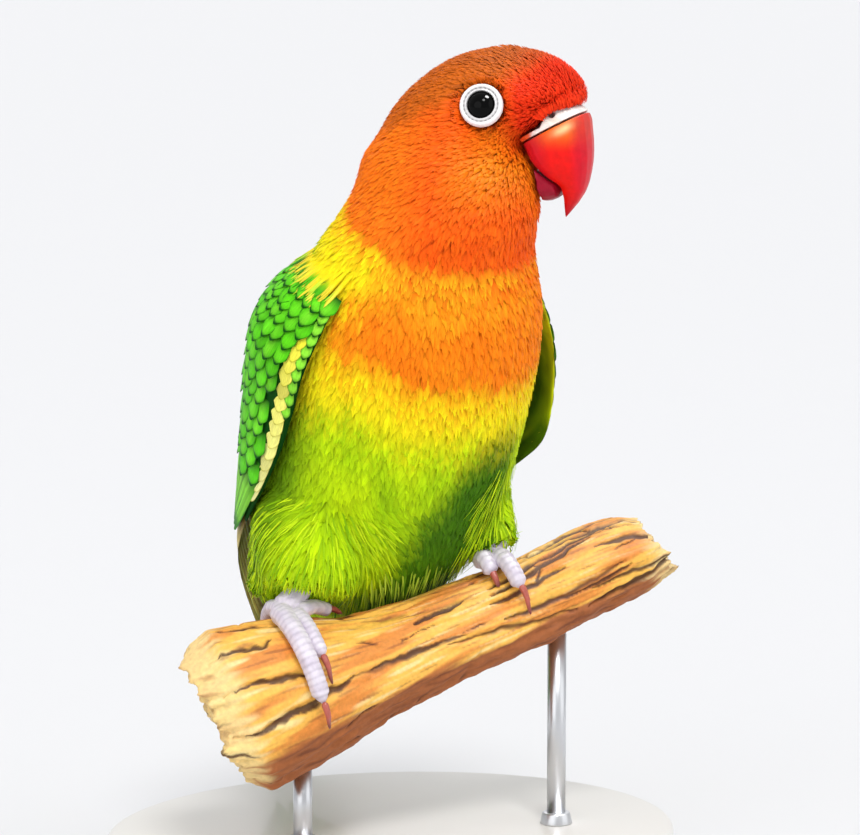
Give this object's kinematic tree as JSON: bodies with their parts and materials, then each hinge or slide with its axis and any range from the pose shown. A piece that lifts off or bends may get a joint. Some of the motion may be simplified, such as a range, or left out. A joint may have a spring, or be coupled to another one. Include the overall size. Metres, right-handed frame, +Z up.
{
  "type": "fischer's lovebird",
  "caption": "Small parrot with a red hooked bill, white eye rings, orange head and breast, yellow collar and green body and wings, gripping a cut branch over a flat display base.",
  "frame": {"origin": "centre of the stand base's underside", "axes": "+Z up; the bird's breast faces -Y, so its right side is towards -X and its left side towards +X; its head is turned 50 degrees to its left; the branch runs along X"},
  "size_m": [0.098, 0.0923, 0.1418],
  "materials": {
    "green_plumage": "soft body feathers",
    "yellow_plumage": "soft body feathers",
    "orange_plumage": "short dense feathers",
    "wing_feathers": "smooth overlapping feathers",
    "tail_feathers": "smooth overlapping feathers",
    "bare_skin": "white bare skin of the eye rings and cere",
    "red_horn": "smooth horn",
    "eye_black": "wet and glossy",
    "foot_skin": "scaly grey skin",
    "claw_horn": "smooth horn",
    "perch_wood": "bare split wood with cracks",
    "stand_lacquer": "white lacquered wood",
    "steel_rod": "brushed"
  },
  "bodies": {
    "root": {"torso": "green_plumage", "neck": "yellow_plumage", "head": "orange_plumage", "bill_upper": "red_horn", "cere": "bare_skin", "bill_lower": "red_horn", "eye_left": "eye_black", "eye_ring_left": "bare_skin", "eye_right": "eye_black", "eye_ring_right": "bare_skin", "thigh_left": "green_plumage", "foot_left": "foot_skin", "claw_left_1": "claw_horn", "claw_left_2": "claw_horn", "claw_left_3": "claw_horn", "claw_left_4": "claw_horn", "thigh_right": "green_plumage", "foot_right": "foot_skin", "claw_right_1": "claw_horn", "claw_right_2": "claw_horn", "claw_right_3": "claw_horn", "claw_right_4": "claw_horn", "wing_left": "wing_feathers", "wing_right": "wing_feathers", "tail": "tail_feathers", "perch": "perch_wood", "stand_base": "stand_lacquer", "stand_rod_1": "steel_rod", "stand_rod_2": "steel_rod"}
  },
  "joints": []
}
